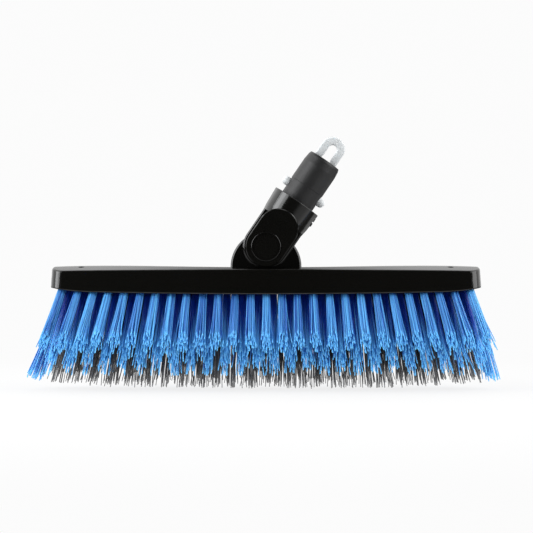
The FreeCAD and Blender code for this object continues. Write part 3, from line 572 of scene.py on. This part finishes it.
# a button's place up the pole from the pivot, its radius, and from the pole's middle to where it
# starts and to where its wall ends
BUTTON_HEIGHT = 0.057
BUTTON_RADIUS = 0.00385
BUTTON_START = 0.0084
BUTTON_SHOULDER = 0.0172
# its dome: from the pole's middle to its start, its rounding, and the flat left at its tip
DOME_START = 0.0174
DOME_ROUND = 0.0036
DOME_FLAT = 0.00025
DOME_STEPS = 10
BUTTON_SIDES = 40


def clip_sections(side):
    """(middle, across direction, half-width) along one half of the clip, from the loop's top."""
    middle = (CLIP_OUTER + CLIP_INNER) / 2
    half = (CLIP_OUTER - CLIP_INNER) / 2
    sections = []
    for step in range(CLIP_BEND_STEPS + 1):
        angle = math.pi / 2 * (1 - step / CLIP_BEND_STEPS)
        out = (math.cos(angle) * side, math.sin(angle))
        sections.append(((middle * out[0], CLIP_HINGE + middle * out[1]), out, half))
    for along, inner, set_in in CLIP_LEG:
        outer = CLIP_OUTER - set_in
        sections.append((((outer + inner) / 2 * side, along), (side, 0.0), (outer - inner) / 2))
    return sections


def rounded_box(half_width, half_thickness):
    """A rectangle with rounded corners, as points (across, depth), anticlockwise."""
    most = CLIP_CORNER_SHARE
    corner = min(CLIP_CORNER, half_width * most, half_thickness * most)
    points = []
    for quarter in range(4):
        turn = quarter * math.pi / 2
        centre_x = (half_width - corner) * (1 if quarter in (0, 3) else -1)
        centre_y = (half_thickness - corner) * (1 if quarter in (0, 1) else -1)
        for step in range(CLIP_CORNER_STEPS + 1):
            angle = turn + math.pi / 2 * step / CLIP_CORNER_STEPS
            x = centre_x + corner * math.cos(angle)
            y = centre_y + corner * math.sin(angle)
            points.append((x, y))
    return points


def new_clip_piece(name, mesh, rings):
    skin(mesh, rings)
    bmesh.ops.recalc_face_normals(mesh, faces=mesh.faces)
    piece = new_piece(name, mesh, CLIP_NYLON)
    return piece


def make_clip_half(name, side, arm_node):
    """Half of the loop and one leg, in place of the leg's arm and the loop's bend."""
    mesh = bmesh.new()
    rings = []
    for (across, along), out, half in clip_sections(side):
        direction = ACROSS * out[0] + ALONG * out[1]
        centre = handle_point(along, across)
        ring = []
        for x, y in rounded_box(half, CLIP_HALF_THICKNESS):
            ring.append(mesh.verts.new(centre + direction * x + Vector((0, y, 0))))
        rings.append(ring)
    piece = new_clip_piece(name, mesh, rings)
    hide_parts(arm_node, "clip_bend")
    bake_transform(piece)


def make_button(name, side, body):
    """A domed button, riding with its arm."""
    profile = [(BUTTON_START, BUTTON_RADIUS), (BUTTON_SHOULDER, BUTTON_RADIUS)]
    for step in range(1, DOME_STEPS + 1):
        angle = math.pi / 2 * step / DOME_STEPS
        out = DOME_START + DOME_ROUND * math.sin(angle)
        profile.append((out, DOME_FLAT + DOME_ROUND * math.cos(angle)))
    mesh = bmesh.new()
    rings = []
    for across, radius in profile:
        ring = []
        for corner in range(BUTTON_SIDES):
            angle = TURN * corner / BUTTON_SIDES
            along = BUTTON_HEIGHT + radius * math.cos(angle)
            place = handle_point(along, across * side, radius * math.sin(angle))
            ring.append(mesh.verts.new(place))
        rings.append(ring)
    piece = new_clip_piece(name, mesh, rings)
    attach(piece, body)


make_clip_half("clip_left_half", -1, "clip_left_arm")
make_clip_half("clip_right_half", 1, "clip_right_arm")
make_button("clip_left_button", -1, "clip_left")
make_button("clip_right_button", 1, "clip_right")


# ---- floor, light and camera ----

# how bright the surroundings show
BACKDROP = 0.97
FLOOR_RADIUS = 60.0
FLOOR_SEGMENTS = 96
FLOOR_DROP = 0.0003
# how bright the floor is near the brush, and from where to where it fades into the backdrop
FLOOR_ALBEDO = 0.13
FLOOR_GLOW = 0.80
FLOOR_FADE = (0.2, 0.75)
# the light that the floor gives: below the brush, beside that strip, and far off
NEAR_FILL = 1.0
FLOOR_FILL = 0.50
FAR_FILL = 0.04
STRIP_FADE = (0.07, 0.20)
FILL_FADE = (0.35, 0.80)
# how bright the surroundings are: (how far a direction points backwards, -1 to 1; share of the peak)
SURROUND_PEAK = 1.75
SURROUND = ((-1.0, 0.012), (-0.15, 0.012), (0.15, 1.0), (0.75, 1.0), (1.0, 0.40))
# the dimmer band ahead, overhead and behind: how far to the side it fades, and its brightness
GAP = (0.0, 0.10)
GAP_LEVEL = 0.55

# each softbox: its name, place, width and height, power and colour; all point at LIT_POINT
WHITE = (1, 1, 1)
COOL_WHITE = (0.98, 0.99, 1.0)
LIT_POINT = (0, 0, 0.08)
SOFTBOXES = (
    ("left_softbox", (-1.14, -0.556, 0.65), (1.05, 1.3), 20.0, COOL_WHITE),
    ("left_core", (-1.28, -0.53, 0.55), (0.55, 0.9), 5.5, COOL_WHITE),
    ("right_softbox", (1.14, -0.556, 0.65), (1.05, 1.3), 18.0, WHITE),
)

CAMERA_DISTANCE = 1.5
CAMERA_RIGHT = 0.0004
CAMERA_HEIGHT = 0.10462
# how wide the picture is, in the plane of the handle
VIEW_WIDTH = 0.4568
SENSOR_WIDTH = 36.0
# how near and how far the camera sees
CAMERA_REACH = (0.05, 50.0)


def smooth_step(tree, value, reach, low=0.0, high=1.0):
    """Map a value from reach to low..high, easing in and out."""
    start, end = reach
    node = add(
        tree, "ShaderNodeMapRange", Value=value, From_Min=start, From_Max=end, To_Min=low, To_Max=high
    )
    node.interpolation_type = "SMOOTHSTEP"
    return node.outputs["Result"]


def absolute(tree, value):
    node = add(tree, "ShaderNodeMath", Value=value)
    node.operation = "ABSOLUTE"
    return node.outputs["Value"]


def seen_or_not(tree, seen, unseen):
    """One value where the floor or the backdrop shows, and another where it lights the object."""
    rays = tree.nodes.new("ShaderNodeLightPath")
    pick = tree.nodes.new("ShaderNodeMix")
    tree.links.new(rays.outputs["Is Camera Ray"], pick.inputs["Factor"])
    for socket, value in ((pick.inputs["A"], unseen), (pick.inputs["B"], seen)):
        if isinstance(value, bpy.types.NodeSocket):
            tree.links.new(value, socket)
        else:
            socket.default_value = value
    return pick.outputs["Result"]


def floor_material():
    """Pale near the brush and fading into the backdrop, with a light of its own."""
    material, tree, shader = new_material("pale_floor")
    coordinates = tree.nodes.new("ShaderNodeTexCoord")
    place = coordinates.outputs["Object"]
    length = add(tree, "ShaderNodeVectorMath")
    length.operation = "LENGTH"
    tree.links.new(place, length.inputs[0])
    distance = length.outputs["Value"]
    far = smooth_step(tree, distance, FLOOR_FADE)
    colour = mix_colours(tree, far, (FLOOR_ALBEDO,) * 3, (0.0, 0.0, 0.0))
    tree.links.new(colour, shader.inputs["Base Color"])
    shader.inputs["Roughness"].default_value = 1.0
    shader.inputs["Specular IOR Level"].default_value = 0.0
    shader.inputs["Emission Color"].default_value = (1, 1, 1, 1)
    glow = spread(tree, far, FLOOR_GLOW, BACKDROP)
    parts = add(tree, "ShaderNodeSeparateXYZ", Vector=place)
    depth = absolute(tree, parts.outputs["Y"])
    near = smooth_step(tree, depth, STRIP_FADE, NEAR_FILL, FLOOR_FILL)
    fill = spread(tree, smooth_step(tree, distance, FILL_FADE), near, FAR_FILL)
    tree.links.new(seen_or_not(tree, glow, fill), shader.inputs["Emission Strength"])
    return material


def make_floor():
    mesh = bmesh.new()
    bmesh.ops.create_circle(mesh, cap_ends=True, radius=FLOOR_RADIUS, segments=FLOOR_SEGMENTS)
    floor = new_piece("floor", mesh, floor_material())
    floor.location.z = -FLOOR_DROP


def make_world():
    """Pale where it shows. What lights the object is dark in front and bright beside and behind."""
    world = bpy.data.worlds.new("studio")
    bpy.context.scene.world = world
    world.use_nodes = True
    tree = world.node_tree
    background = tree.nodes["Background"]
    coordinates = tree.nodes.new("ShaderNodeTexCoord")
    parts = add(tree, "ShaderNodeSeparateXYZ", Vector=coordinates.outputs["Generated"])
    backwards = add(
        tree, "ShaderNodeMapRange", Value=parts.outputs["Y"], From_Min=-1.0, From_Max=1.0
    )
    shades = add(tree, "ShaderNodeValToRGB", Fac=backwards.outputs["Result"])
    ramp = shades.color_ramp
    ramp.interpolation = "EASE"
    while len(ramp.elements) < len(SURROUND):
        ramp.elements.new(1.0)
    for element, (place, level) in zip(ramp.elements, SURROUND):
        element.position = (place + 1) / 2
        element.color = (level, level, level, 1)
    aside = absolute(tree, parts.outputs["X"])
    beside = smooth_step(tree, aside, GAP, GAP_LEVEL, SURROUND_PEAK)
    lit = tree.nodes.new("ShaderNodeMath")
    lit.operation = "MULTIPLY"
    tree.links.new(shades.outputs["Color"], lit.inputs[0])
    tree.links.new(beside, lit.inputs[1])
    strength = seen_or_not(tree, BACKDROP, lit.outputs["Value"])
    tree.links.new(strength, background.inputs["Strength"])
    background.inputs["Color"].default_value = (1, 1, 1, 1)


def make_softbox(name, place, size, power, colour):
    light = bpy.data.lights.new(name, "AREA")
    light.shape = "RECTANGLE"
    light.size, light.size_y = size
    light.energy = power
    light.color = colour
    lamp = bpy.data.objects.new(name, light)
    bpy.context.scene.collection.objects.link(lamp)
    lamp.location = place
    way = Vector(LIT_POINT) - Vector(place)
    lamp.rotation_euler = way.to_track_quat("-Z", "Y").to_euler()


def make_camera():
    """Level, straight in front of the brush."""
    data = bpy.data.cameras.new("camera")
    camera = bpy.data.objects.new("camera", data)
    bpy.context.scene.collection.objects.link(camera)
    camera.location = (CAMERA_RIGHT, -CAMERA_DISTANCE, CAMERA_HEIGHT)
    camera.rotation_euler = (math.pi / 2, 0, 0)
    data.sensor_width = SENSOR_WIDTH
    data.lens = SENSOR_WIDTH * CAMERA_DISTANCE / VIEW_WIDTH
    data.clip_start, data.clip_end = CAMERA_REACH
    bpy.context.scene.camera = camera


make_floor()
make_world()
for softbox in SOFTBOXES:
    make_softbox(*softbox)
make_camera()
bpy.context.scene.view_settings.view_transform = "Standard"
